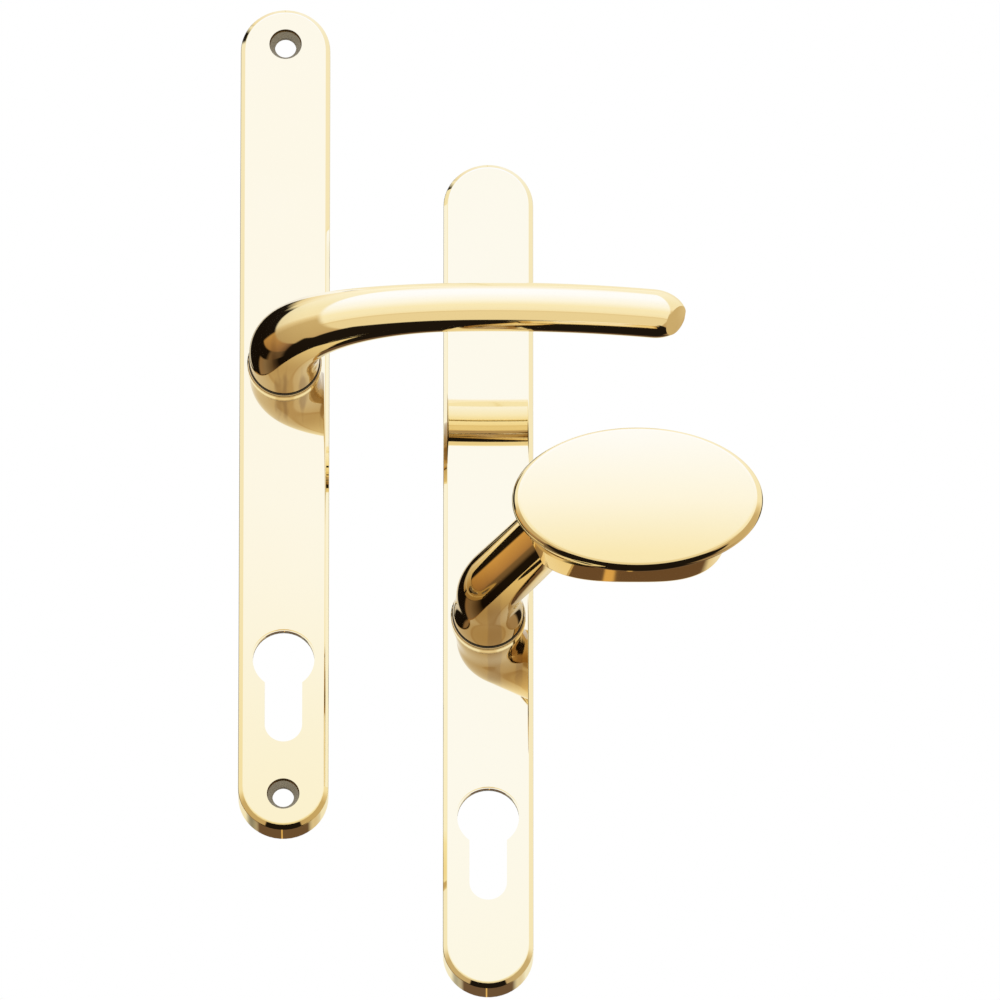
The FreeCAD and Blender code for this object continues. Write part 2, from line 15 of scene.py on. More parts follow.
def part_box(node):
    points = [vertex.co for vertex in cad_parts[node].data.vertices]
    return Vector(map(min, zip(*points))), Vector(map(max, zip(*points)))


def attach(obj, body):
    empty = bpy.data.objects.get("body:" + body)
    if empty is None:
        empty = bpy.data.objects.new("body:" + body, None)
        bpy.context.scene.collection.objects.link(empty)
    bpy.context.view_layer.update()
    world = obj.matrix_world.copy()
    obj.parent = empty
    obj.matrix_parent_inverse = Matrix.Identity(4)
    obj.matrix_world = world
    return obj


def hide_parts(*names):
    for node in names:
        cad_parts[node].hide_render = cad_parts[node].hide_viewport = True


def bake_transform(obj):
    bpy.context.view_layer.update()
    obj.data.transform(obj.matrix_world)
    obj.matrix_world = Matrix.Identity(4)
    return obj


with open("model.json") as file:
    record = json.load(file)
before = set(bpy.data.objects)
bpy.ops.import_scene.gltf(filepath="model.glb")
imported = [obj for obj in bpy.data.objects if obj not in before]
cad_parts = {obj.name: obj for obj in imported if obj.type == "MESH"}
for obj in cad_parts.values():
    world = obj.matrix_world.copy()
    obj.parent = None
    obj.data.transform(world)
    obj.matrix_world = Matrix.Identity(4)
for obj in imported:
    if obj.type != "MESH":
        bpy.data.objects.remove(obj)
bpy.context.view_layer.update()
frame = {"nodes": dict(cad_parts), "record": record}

LOG = logging.getLogger("door_handles")
MM = 0.001
MERGE = 2e-6  # metres within which the loose corners of a CAD mesh are one
POLE_MERGE = 1e-4  # mm within which the points at the pad face's middle are one
ON_PLANE = 1e-7  # how near a cutting plane a corner counts as on it
TINY = 1e-6  # a length below which a direction can't be told
STUB_REACH = 0.4  # mm that a CAD stub reaches into the polished neck
ROUNDING = range(0, 91, 10)  # degrees of the rows round a quarter-round edge
OUTWARD = Vector((0.0, -1.0, 0.0))  # away from the door
Pair = tuple[float, float]
Triple = tuple[float, float, float]
Colour = Triple
Ring = tuple[tuple[float, Colour], ...]
DARK: Colour = (0.012, 0.008, 0.005)
BRIGHT: Colour = (1.0, 0.97, 0.88)


class Body(Enum):
    """The bodies that the pieces ride on."""

    PLATES = "plates"
    LEVER = "lever_handle"
    PAD = "pad_handle"


class Slot(Enum):
    """The finishes that the record names."""

    GOLD = "polished_gold"
    NYLON = "black_nylon"
    ZINC = "zinc_steel"
    SPRING = "spring_steel"


class Signal:
    """A shader output that takes part in Python sums."""

    def __init__(self, graph: "Graph", output: bpy.types.NodeSocket) -> None:
        """Keeps the output.

        Args:
            graph: The graph that the output belongs to.
            output: The node's output socket.
        """
        self.graph = graph
        self.output = output

    def __add__(self, other: "Signal | float") -> "Signal":
        """Adds."""
        return self.graph.math("ADD", self, other)

    def __sub__(self, other: "Signal | float") -> "Signal":
        """Subtracts."""
        return self.graph.math("SUBTRACT", self, other)

    def __rsub__(self, other: float) -> "Signal":
        """Subtracts from a number."""
        return self.graph.math("SUBTRACT", other, self)

    def __mul__(self, other: "Signal | float") -> "Signal":
        """Multiplies."""
        return self.graph.math("MULTIPLY", self, other)

    __radd__ = __add__
    __rmul__ = __mul__


class Graph:
    """The node tree of a material or of the world."""

    def __init__(self, tree: bpy.types.NodeTree) -> None:
        """Empties the tree.

        Args:
            tree: The node tree to fill.
        """
        self.tree = tree
        tree.nodes.clear()

    def node(
        self,
        kind: str,
        settings: dict[str, Any] | None = None,
        inputs: dict[str | int, Any] | None = None,
        output: str | int = 0,
    ) -> Signal:
        """Adds a node, sets it and links it.

        Args:
            kind: The node's type.
            settings: Its properties, and "stops" for a colour ramp.
            inputs: Values or signals by the name or number of the input.
            output: The name or number of the output that is used.

        Returns:
            The chosen output as a signal.
        """
        made = self.tree.nodes.new(kind)
        for name, value in (settings or {}).items():
            if name == "stops":
                self._stops(made.color_ramp, value)
            else:
                setattr(made, name, value)
        for name, value in (inputs or {}).items():
            if isinstance(value, Signal):
                self.tree.links.new(value.output, made.inputs[name])
            else:
                made.inputs[name].default_value = value
        return Signal(self, made.outputs[output]) if len(made.outputs) else Signal(self, None)

    @staticmethod
    def _stops(ramp: bpy.types.ColorRamp, stops: Sequence[tuple[float, Colour]]) -> None:
        """Puts stops on a ramp.

        Args:
            ramp: The ramp to fill.
            stops: Positions from 0 to 1 with their colours.
        """
        while len(ramp.elements) > 1:
            ramp.elements.remove(ramp.elements[-1])
        for index, (place, colour) in enumerate(stops):
            element = ramp.elements[0] if index == 0 else ramp.elements.new(place)
            element.position = place
            element.color = (*colour, 1.0)

    def math(self, operation: str, *values: "Signal | float") -> Signal:
        """Adds a Math node.

        Args:
            operation: The sum to do.
            values: Its inputs in order.

        Returns:
            The result.
        """
        return self.node("ShaderNodeMath", {"operation": operation}, dict(enumerate(values)))

    def step(self, value: Signal, low: float, high: float) -> Signal:
        """Rises smoothly from 0 to 1 between two values.

        Args:
            value: The signal to follow.
            low: Where the rise starts.
            high: Where it ends.

        Returns:
            A signal from 0 to 1.
        """
        return self.node(
            "ShaderNodeMapRange",
            {"interpolation_type": "SMOOTHSTEP"},
            {"Value": value, "From Min": low, "From Max": high},
        )

    def blend(self, factor: "Signal | float", first: Any, second: Any) -> Signal:
        """Mixes two colours.

        Args:
            factor: The share of the second colour.
            first: A colour or signal.
            second: A colour or signal.

        Returns:
            The mixed colour.
        """
        colours = [v if isinstance(v, Signal) else (*v, 1.0) for v in (first, second)]
        return self.node(
            "ShaderNodeMix",
            {"data_type": "RGBA"},
            {"Factor": factor, 6: colours[0], 7: colours[1]},
            output=2,
        )

    def noise(self, scale: float, detail: float = 3.0, stretch: Triple = (1.0, 1.0, 1.0)) -> Signal:
        """Adds cloudy noise on the piece's own coordinates.

        Args:
            scale: Features per metre.
            detail: How many finer layers it has.
            stretch: How much each axis is squeezed.

        Returns:
            The noise, from 0 to 1.
        """
        place = self.node("ShaderNodeTexCoord", output="Object")
        place = self.node("ShaderNodeMapping", {}, {"Vector": place, "Scale": stretch})
        return self.node(
            "ShaderNodeTexNoise", {}, {"Vector": place, "Scale": scale, "Detail": detail}
        )

    def height(self) -> Signal:
        """The height of the shaded point, in metres."""
        place = self.node("ShaderNodeTexCoord", output="Object")
        return self.node("ShaderNodeSeparateXYZ", {}, {0: place}, output="Z")


def new_material(name: str) -> tuple[bpy.types.Material, Graph]:
    """Starts a material.

    Args:
        name: The material's name.

    Returns:
        The material and its empty graph.
    """
    material = bpy.data.materials.new(name)
    material.use_nodes = True
    return material, Graph(material.node_tree)


def finish_material(graph: Graph, shader: Signal) -> None:
    """Sends a shader to the material's output.

    Args:
        graph: The material's graph.
        shader: The shader to show.
    """
    graph.node("ShaderNodeOutputMaterial", {}, {"Surface": shader})


Look = tuple[Signal, Signal | float, Signal, Signal]


@dataclass(frozen=True)
class PolishedGold:
    """Mirror-polished gold with a painted reflection: paler at the head of a piece, warmer towards
    its foot.
    """

    name: str
    pale: Colour = (1.0, 0.93, 0.74)
    warm: Colour = (0.97, 0.87, 0.60)
    foot: float = -0.20
    head: float = 0.10
    cloud: float = 0.35
    haze: float = 0.035
    smear: float = 0.03
    ripple: float = 0.05
    cloud_scale: float = 14.0
    smear_scale: float = 90.0
    smear_stretch: Triple = (1.0, 1.0, 0.25)
    ripple_scale: float = 60.0
    ripple_depth: float = 0.00025

    def material(self) -> bpy.types.Material:
        """Builds the finish.

        Returns:
            The material.
        """
        material, graph = new_material(self.name)
        cloud = graph.noise(self.cloud_scale, 4.0)
        # Painted reflection: the colour runs from the warmer tint at the foot to the pale tint at
        # the head, as reflected tan below and white above would; the cloud noise is random tone.
        rise = graph.step(graph.height(), self.foot, self.head)
        share = 1.0 - rise * (1.0 - self.cloud * cloud)
        colour = graph.blend(share, self.pale, self.warm)
        smear = graph.noise(self.smear_scale, 5.0, self.smear_stretch)
        rough = self.haze + self.smear * smear
        swirl = graph.noise(self.ripple_scale, 2.0)
        colour, metal, rough, swirl = self._dulled_and_shaded(graph, colour, rough, swirl)
        bump = graph.node(
            "ShaderNodeBump",
            {},
            {"Strength": self.ripple, "Distance": self.ripple_depth, "Height": swirl},
        )
        shader = graph.node(
            "ShaderNodeBsdfPrincipled",
            {},
            {"Base Color": colour, "Metallic": metal, "Roughness": rough, "Normal": bump},
        )
        finish_material(graph, shader)
        return material

    def _dulled_and_shaded(self, graph: Graph, colour: Signal, rough: Signal, swirl: Signal) -> Look:
        """Leaves the polish whole; finishes that dull places or paint shade change it here.

        Args:
            graph: The material's graph.
            colour: The polished colour.
            rough: The polished roughness.
            swirl: The height of the polishing marks.

        Returns:
            The colour, the metallic share, the roughness and the height.
        """
        return colour, 1.0, rough, swirl


@dataclass(frozen=True)
class NeckShadeGold(PolishedGold):
    """Polished gold with painted shade and painted streaks of reflection where a neck nears its
    plate.
    """

    neck_front: float = -0.047
    neck_foot: float = -0.027
    neck_shade_share: float = 0.9
    neck_painted_shade: Colour = (0.52, 0.375, 0.21)
    neck_painted_streak: Colour = (0.30, 0.18, 0.09)
    streak_scale: float = 230.0
    streak_stretch: Triple = (1.0, 0.12, 0.12)
    streak_span: Pair = (0.50, 0.62)

    def _dulled_and_shaded(self, graph: Graph, colour: Signal, rough: Signal, swirl: Signal) -> Look:
        """Paints shade and streaks of reflection onto the neck.

        Args:
            graph: The material's graph.
            colour: The polished colour.
            rough: The polished roughness.
            swirl: The height of the polishing marks.

        Returns:
            The colour, the metallic share, the roughness and the height.
        """
        place = graph.node("ShaderNodeTexCoord", output="Object")
        deep = graph.node("ShaderNodeSeparateXYZ", {}, {0: place}, output="Y")
        # Painted shade: darker brown where the neck comes close to its plate, with painted streaks
        # standing in for reflected stripes.
        near = self.neck_shade_share * graph.step(deep, self.neck_front, self.neck_foot)
        streak = graph.noise(self.streak_scale, 2.0, self.streak_stretch)
        streak = graph.step(streak, *self.streak_span)
        tone = graph.blend(streak, self.neck_painted_shade, self.neck_painted_streak)
        return graph.blend(near, colour, tone), 1.0, rough, swirl


@dataclass(frozen=True)
class PlateGold(PolishedGold):
    """Polished gold outside a plate, plain casting in its hollow back, painted shade in its
    recesses and on its collar.
    """

    haze: float = 0.006
    smear: float = 0.012
    ripple: float = 0.02
    node: str = ""
    recesses: tuple[Pair, ...] = ()
    recess_radius: float = 4.9
    recess_front: float = -8.3
    recess_painted_shade: Colour = (0.17, 0.11, 0.045)
    recess_haze: float = 0.25
    collar_front: float = -9.25
    collar_painted_shade: Colour = (0.55, 0.40, 0.22)
    collar_shade_share: float = 0.8
    cast_front: float = -7.2
    cast_edge: float = 0.9
    cast_tone: Colour = (0.46, 0.42, 0.33)
    cast_shade: Colour = (0.34, 0.31, 0.25)
    cast_haze: float = 0.42
    cast_dull: float = 0.45
    grain_scale: float = 420.0
    grain_haze: float = 0.12
    grain_height: float = 3.0

    def _dulled_and_shaded(self, graph: Graph, colour: Signal, rough: Signal, swirl: Signal) -> Look:
        """Paints shade into the recesses and onto the collar, roughens the recesses and dulls the
        hollow back.

        Args:
            graph: The material's graph.
            colour: The polished colour.
            rough: The polished roughness.
            swirl: The height of the polishing marks.

        Returns:
            The colour, the metallic share, the roughness and the height.
        """
        place = graph.node("ShaderNodeTexCoord", output="Object")
        across, deep, high = (
            graph.node("ShaderNodeSeparateXYZ", {}, {0: place}, output=axis) for axis in "XYZ"
        )
        for x, z in self.recesses:
            away = self._away(graph, across - x * MM, high - z * MM)
            inside = graph.math("LESS_THAN", away, self.recess_radius * MM)
            inside = inside * graph.math("GREATER_THAN", deep, self.recess_front * MM)
            # Painted shade: each recess is darkened as if shade fell inside it; its added roughness
            # is real.
            colour = graph.blend(inside, colour, self.recess_painted_shade)
            rough = rough + self.recess_haze * inside
        # Painted shade: the plate's collar in front of the face is darkened to match the painted
        # shade on the necks.
        collar = graph.math("LESS_THAN", deep, self.collar_front * MM)
        colour = graph.blend(self.collar_shade_share * collar, colour, self.collar_painted_shade)
        low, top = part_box(self.node)
        half = 0.5 * (top[0] - low[0])
        above = graph.math("MAXIMUM", high - (top[2] - half), (low[2] + half) - high)
        away = self._away(graph, across - (low[0] + half), graph.math("MAXIMUM", above, 0.0))
        cast = graph.math("LESS_THAN", away, half - self.cast_edge * MM)
        cast = cast * graph.math("GREATER_THAN", deep, self.cast_front * MM)
        grain = graph.noise(self.grain_scale, 3.0)
        colour = graph.blend(cast, colour, graph.blend(grain, self.cast_tone, self.cast_shade))
        rough = rough + (self.cast_haze + self.grain_haze * grain) * cast
        return colour, 1.0 - self.cast_dull * cast, rough, swirl + self.grain_height * grain * cast

    @staticmethod
    def _away(graph: Graph, across: Signal, along: Signal) -> Signal:
        """Measures a distance in the plate's plane.

        Args:
            graph: The material's graph.
            across: The distance across the plate.
            along: The distance along it.

        Returns:
            The distance, in metres.
        """
        return graph.math("SQRT", across * across + along * along)


@dataclass(frozen=True)
class PlatedSteel:
    """Steel with fine drawn lines and a cloudy plating."""

    name: str
    light: Colour
    dark: Colour
    rough: float
    lines: Triple = (1.0, 0.05, 1.0)
    line_scale: float = 2400.0
    line_depth: float = 0.00005
    cloud_scale: float = 160.0
    cloud_haze: float = 0.15

    def material(self) -> bpy.types.Material:
        """Builds the finish.

        Returns:
            The material.
        """
        material, graph = new_material(self.name)
        drawn = graph.noise(self.line_scale, 2.0, self.lines)
        cloud = graph.noise(self.cloud_scale, 4.0)
        colour = graph.blend(0.55 * drawn + 0.4 * cloud, self.light, self.dark)
        bump = graph.node(
            "ShaderNodeBump", {}, {"Strength": 0.2, "Distance": self.line_depth, "Height": drawn}
        )
        shader = graph.node(
            "ShaderNodeBsdfPrincipled",
            {},
            {
                "Base Color": colour,
                "Metallic": 1.0,
                "Roughness": self.rough + self.cloud_haze * cloud,
                "Normal": bump,
            },
        )
        finish_material(graph, shader)
        return material


@dataclass(frozen=True)
class MouldedNylon:
    """Black nylon with the fine grain of its mould."""

    name: str
    colour: Colour = (0.012, 0.010, 0.008)
    worn: Colour = (0.035, 0.030, 0.025)
    rough: float = 0.38
    grain_scale: float = 1800.0
    grain_depth: float = 0.00008
    grain_haze: float = 0.2
    wear_scale: float = 200.0

    def material(self) -> bpy.types.Material:
        """Builds the finish.

        Returns:
            The material.
        """
        material, graph = new_material(self.name)
        grain = graph.noise(self.grain_scale, 3.0)
        cloud = graph.noise(self.wear_scale, 3.0)
        bump = graph.node(
            "ShaderNodeBump", {}, {"Strength": 0.25, "Distance": self.grain_depth, "Height": grain}
        )
        shader = graph.node(
            "ShaderNodeBsdfPrincipled",
            {},
            {
                "Base Color": graph.blend(0.7 * cloud, self.colour, self.worn),
                "Roughness": self.rough + self.grain_haze * grain,
                "Normal": bump,
            },
        )
        finish_material(graph, shader)
        return material


class Side(Enum):
    """Where a zone of the surroundings lies, seen from the handles."""

    BOTH = "both"
    LEFT = "left"
    RIGHT = "right"


@dataclass(frozen=True)
class Zone:
    """A zone of the surroundings, which fades in between two angles from the front in degrees."""

    ring: Ring
    side: Side
    begins: float
    ends: float


@dataclass
class Studio:
    """White in front and above, tan below, dark to the left and beneath."""

    floor_height: float = -12.0
    floor_reach: float = 40.0
    floor_tones: tuple[Colour, Colour] = ((0.86, 0.86, 0.85), (0.90, 0.90, 0.89))
    floor_rough: float = 0.9
    lamp_size: Pair = (1.6, 1.2)
    lamp_power: float = 6.0
    lamp_place: Triple = (-0.5, -1.6, 1.4)
    lamp_aim: Triple = (0.05, 0.0, -0.04)
    white: Colour = (1.0, 1.0, 1.0)
    front: Ring = (
        (-90.0, (0.83, 0.69, 0.41)),
        (-24.0, (0.83, 0.69, 0.41)),
        (-22.0, (0.77, 0.61, 0.34)),
        (-20.5, (0.77, 0.61, 0.34)),
        (-19.0, (0.92, 0.81, 0.54)),
        (-10.0, (0.94, 0.86, 0.63)),
        (4.0, (0.965, 0.89, 0.66)),
        (13.0, (0.98, 0.95, 0.84)),
        (21.0, (1.0, 1.0, 1.0)),
        (28.0, (1.0, 1.02, 1.08)),
        (48.0, (1.01, 1.07, 1.30)),
        (68.0, (1.01, 1.08, 1.34)),
        (82.0, (0.99, 0.96, 0.92)),
    )
    side: Ring = (
        (-60.0, (0.53, 0.34, 0.16)),
        (-40.0, (0.57, 0.41, 0.19)),
        (-2.0, (0.60, 0.44, 0.21)),
        (8.0, (0.78, 0.62, 0.35)),
        (16.0, (0.93, 0.83, 0.58)),
        (40.0, (0.93, 0.86, 0.64)),
        (66.0, (0.97, 0.93, 0.80)),
    )
    flank: Ring = (
        (-44.0, DARK),
        (-40.0, (0.22, 0.12, 0.055)),
        (-33.0, (0.38, 0.21, 0.09)),
        (-22.0, (0.50, 0.28, 0.10)),
        (4.0, (0.66, 0.38, 0.115)),
        (8.0, DARK),
        (46.0, DARK),
        (52.0, (0.90, 0.79, 0.52)),
        (75.0, BRIGHT),
    )
    corner: Ring = (
        (-44.0, DARK),
        (-39.0, (0.16, 0.10, 0.05)),
        (-24.0, (0.27, 0.17, 0.075)),
        (-18.0, DARK),
        (50.0, DARK),
        (56.0, (0.88, 0.74, 0.45)),
        (75.0, BRIGHT),
    )
    left: Ring = (
        (-38.0, DARK),
        (-30.0, (0.18, 0.12, 0.06)),
        (-18.0, (0.38, 0.28, 0.15)),
        (-8.0, (0.45, 0.29, 0.13)),
        (-4.0, DARK),
        (50.0, DARK),
        (56.0, (0.88, 0.74, 0.45)),
        (75.0, BRIGHT),
    )
    right: Ring = (
        (-44.0, DARK),
        (-36.0, (0.30, 0.18, 0.08)),
        (-8.0, (0.66, 0.49, 0.25)),
        (4.0, (0.62, 0.45, 0.22)),
        (8.0, (0.02, 0.013, 0.008)),
        (24.0, (0.02, 0.013, 0.008)),
        (32.0, (0.85, 0.74, 0.48)),
        (75.0, BRIGHT),
    )
    rear: Ring = (
        (-31.0, DARK),
        (-26.0, (0.15, 0.085, 0.042)),
        (-9.0, (0.15, 0.085, 0.042)),
        (-3.0, (0.82, 0.72, 0.48)),
        (6.0, (0.90, 0.82, 0.60)),
        (60.0, (0.95, 0.89, 0.70)),
    )
    glint: Ring = (
        (-31.0, DARK),
        (-26.0, (0.76, 0.46, 0.14)),
        (-9.0, (0.76, 0.46, 0.14)),
        (-3.0, (0.86, 0.76, 0.50)),
    )
    beneath: tuple[tuple[Pair, Pair], ...] = (
        ((0.66, 0.72), (-0.13, -0.10)),
        ((0.77, 0.80), (-0.46, -0.42)),
    )

    def build(self) -> None:
        """Makes the world, the floor and the lamp."""
        self._world()
        self._floor()
        self._lamp()

    def _zones(self) -> tuple[Zone, ...]:
        """The zones in order, each laid over those before it."""
        return (
            Zone(self.side, Side.BOTH, 50.0, 55.0),
            Zone(self.flank, Side.LEFT, 94.0, 98.0),
            Zone(self.corner, Side.LEFT, 114.0, 117.0),
            Zone(self.left, Side.LEFT, 130.0, 133.0),
            Zone(self.right, Side.RIGHT, 131.0, 135.0),
            Zone(self.rear, Side.BOTH, 157.0, 160.0),
            Zone(self.glint, Side.LEFT, 177.4, 177.9),
            Zone(self.rear, Side.LEFT, 178.8, 179.3),
        )

    def _world(self) -> None:
        """Shows white to the camera, and the surroundings to polished metal."""
        world = bpy.data.worlds.new("studio")
        world.use_nodes = True
        bpy.context.scene.world = world
        graph = Graph(world.node_tree)
        way = graph.node("ShaderNodeTexCoord", output="Generated")
        across, deep, up = (
            graph.node("ShaderNodeSeparateXYZ", {}, {0: way}, output=axis) for axis in "XYZ"
        )
        share = graph.math("ARCSINE", up) * (1.0 / math.pi) + 0.5
        turn = graph.math("ARCTAN2", across, deep * -1.0) * (180.0 / math.pi)
        away = {
            Side.BOTH: graph.math("ABSOLUTE", turn),
            Side.LEFT: turn * -1.0,
            Side.RIGHT: turn,
        }
        walls = self._ring(graph, self.front, share)
        for zone in self._zones():
            inside = graph.step(away[zone.side], zone.begins, zone.ends)
            walls = graph.blend(inside, walls, self._ring(graph, zone.ring, share))
        for below, behind in self.beneath:
            inside = graph.step(up * -1.0, *below) * graph.step(deep, *behind)
            walls = graph.blend(inside, walls, DARK)
        path = graph.node("ShaderNodeLightPath", output="Is Glossy Ray")
        seen = graph.blend(path, self.white, walls)
        lit = graph.node("ShaderNodeBackground", {}, {"Color": seen, "Strength": 1.0})
        graph.node("ShaderNodeOutputWorld", {}, {"Surface": lit})

    @staticmethod
    def _ring(graph: Graph, stops: Ring, share: Signal) -> Signal:
        """Colours one side of the surroundings from below to above.

        Args:
            graph: The world's graph.
            stops: Elevations in degrees with their colours.
            share: The elevation as a share from 0 to 1.

        Returns:
            The colour.
        """
        places = [(elevation / 180.0 + 0.5, colour) for elevation, colour in stops]
        return graph.node("ShaderNodeValToRGB", {"stops": places}, {"Fac": share})

    def _floor(self) -> None:
        """Lays the pale floor well below the handles, seen by the camera and by diffuse light."""
        bm = bmesh.new()
        bmesh.ops.create_grid(bm, x_segments=1, y_segments=1, size=self.floor_reach)
        bmesh.ops.translate(bm, vec=(0.0, 0.0, self.floor_height), verts=bm.verts)
        floor = to_object(bm, "floor")
        material, graph = new_material("pale_floor")
        colour = graph.blend(graph.noise(3.0), *self.floor_tones)
        shader = graph.node(
            "ShaderNodeBsdfPrincipled", {}, {"Base Color": colour, "Roughness": self.floor_rough}
        )
        finish_material(graph, shader)
        dress(floor, material)
        floor.visible_glossy = False

    def _lamp(self) -> None:
        """Hangs one large soft lamp in front and above."""
        lamp = bpy.data.lights.new("softbox", "AREA")
        lamp.shape = "RECTANGLE"
        lamp.size, lamp.size_y = self.lamp_size
        lamp.energy = self.lamp_power
        holder = bpy.data.objects.new("softbox", lamp)
        bpy.context.scene.collection.objects.link(holder)
        place = Vector(self.lamp_place)
        holder.location = place
        look = Vector(self.lamp_aim) - place
        holder.rotation_euler = look.to_track_quat("-Z", "Y").to_euler()
        holder.visible_glossy = False


@dataclass
class PhotoCamera:
    """The long lens that looks up at the handles from below."""

    elevation: float = 22.5
    distance: float = 8.0
    pixels_per_metre: float = 3460.0
    frame_pixels: float = 1000.0
    sensor: float = 36.0
    target: Triple = (0.0624, -0.0085, -0.0424)
    clip: Pair = (0.05, 60.0)

    def build(self) -> None:
        """Makes the scene's camera."""
        data = bpy.data.cameras.new("camera")
        data.sensor_width = self.sensor
        data.lens = self.sensor * self.pixels_per_metre * self.distance / self.frame_pixels
        data.clip_start, data.clip_end = self.clip
        camera = bpy.data.objects.new("camera", data)
        bpy.context.scene.collection.objects.link(camera)
        rise = math.radians(self.elevation)
        look = Vector((0.0, math.cos(rise), math.sin(rise)))
        camera.location = Vector(self.target) - look * self.distance
        camera.rotation_euler = look.to_track_quat("-Z", "Y").to_euler()
        bpy.context.scene.camera = camera
        bpy.context.scene.view_settings.view_transform = "Standard"


def to_object(bm: bmesh.types.BMesh, name: str, sharp: float = 35.0) -> bpy.types.Object:
    """Turns a bmesh into a smooth-shaded object at the origin.

    Args:
        bm: The finished bmesh, freed here.
        name: The object's name.
        sharp: Edges that turn more than this many degrees stay sharp.

    Returns:
        The object.
    """
    mesh = bpy.data.meshes.new(name)
    bm.to_mesh(mesh)
    bm.free()
    mesh.polygons.foreach_set("use_smooth", [True] * len(mesh.polygons))
    mesh.set_sharp_from_angle(angle=math.radians(sharp))
    made = bpy.data.objects.new(name, mesh)
    bpy.context.scene.collection.objects.link(made)
    return made


def dress(piece: bpy.types.Object, material: bpy.types.Material) -> None:
    """Gives a piece its finish.

    Args:
        piece: A new piece or a CAD node.
        material: The finish.
    """
    if not piece.material_slots:
        piece.data.materials.append(material)
    for holder in piece.material_slots:
        holder.material = material


def ring_frame(centre: Vector, along: Vector, half_side: float, half_up: float) -> Matrix:
    """Places a unit ring square to a direction, drawn out to an oval.

    Args:
        centre: The ring's centre.
        along: The direction that the ring faces.
        half_side: Half its width, level and square to the direction.
        half_up: Half its height.

    Returns:
        The matrix that carries the unit ring there.
    """
    way = along.normalized()
    side = way.cross(Vector((0.0, 0.0, 1.0))).normalized()
    up = side.cross(way).normalized()
    turn = Matrix((side * half_side, up * half_up, way)).transposed()
    return Matrix.Translation(centre) @ turn.to_4x4()


def sweep(bm: bmesh.types.BMesh, frames: Sequence[Matrix], sides: int) -> None:
    """Draws a ring and pulls it through a run of frames, with both ends closed.

    Args:
        bm: The bmesh to add to.
        frames: The rings' places in order.
        sides: How many points a ring has.
    """
    start = bmesh.ops.create_circle(bm, cap_ends=True, radius=1.0, segments=sides)["verts"]
    bmesh.ops.transform(bm, matrix=frames[0], verts=start)
    ring = set(start)
    edges = list({e for v in ring for e in v.link_edges if set(e.verts) <= ring})
    for before, after in zip(frames, frames[1:]):
        made = bmesh.ops.extrude_edge_only(bm, edges=edges)["geom"]
        ring = {g for g in made if isinstance(g, bmesh.types.BMVert)}
        edges = [g for g in made if isinstance(g, bmesh.types.BMEdge) and set(g.verts) <= ring]
        bmesh.ops.transform(bm, matrix=after @ before.inverted(), verts=list(ring))
    bmesh.ops.edgeloop_fill(bm, edges=edges)
    bmesh.ops.recalc_face_normals(bm, faces=bm.faces)


def cut_flat(
    bm: bmesh.types.BMesh, place: Vector, normal: Vector, faces: Iterable[bmesh.types.BMFace]
) -> list[bmesh.types.BMEdge]:
    """Cuts away what lies beyond a plane and closes the cut with a flat face.

    Args:
        bm: The bmesh to cut.
        place: A point on the plane.
        normal: The side that is cut away.
        faces: The faces that the cut may reach.

    Returns:
        The edges round the new flat.
    """
    faces = list(faces)
    geometry = list({g for f in faces for g in (f, *f.edges, *f.verts)})
    cut = bmesh.ops.bisect_plane(
        bm, geom=geometry, dist=ON_PLANE, plane_co=place, plane_no=normal, clear_outer=True
    )["geom_cut"]
    rim = [g for g in cut if isinstance(g, bmesh.types.BMEdge) and g.is_boundary]
    bmesh.ops.edgeloop_fill(bm, edges=rim)
    return rim


def copied_back(node: str, depth: float) -> bpy.types.Mesh:
    """Copies what a CAD node has behind a depth, as the hidden stub of a new piece.

    Args:
        node: The CAD node.
        depth: The y that the stub starts at.

    Returns:
        The stub's mesh.
    """
    bm = bmesh.new()
    bm.from_mesh(frame["nodes"][node].data)
    bmesh.ops.remove_doubles(bm, verts=bm.verts, dist=MERGE)
    cut_flat(bm, Vector((0.0, depth, 0.0)), OUTWARD, bm.faces)
    mesh = bpy.data.meshes.new(node + "_stub")
    bm.to_mesh(mesh)
    bm.free()
    return mesh


def smooth(share: float) -> float:
    """Eases a share from 0 to 1."""
    share = min(max(share, 0.0), 1.0)
    return share * share * (3.0 - 2.0 * share)


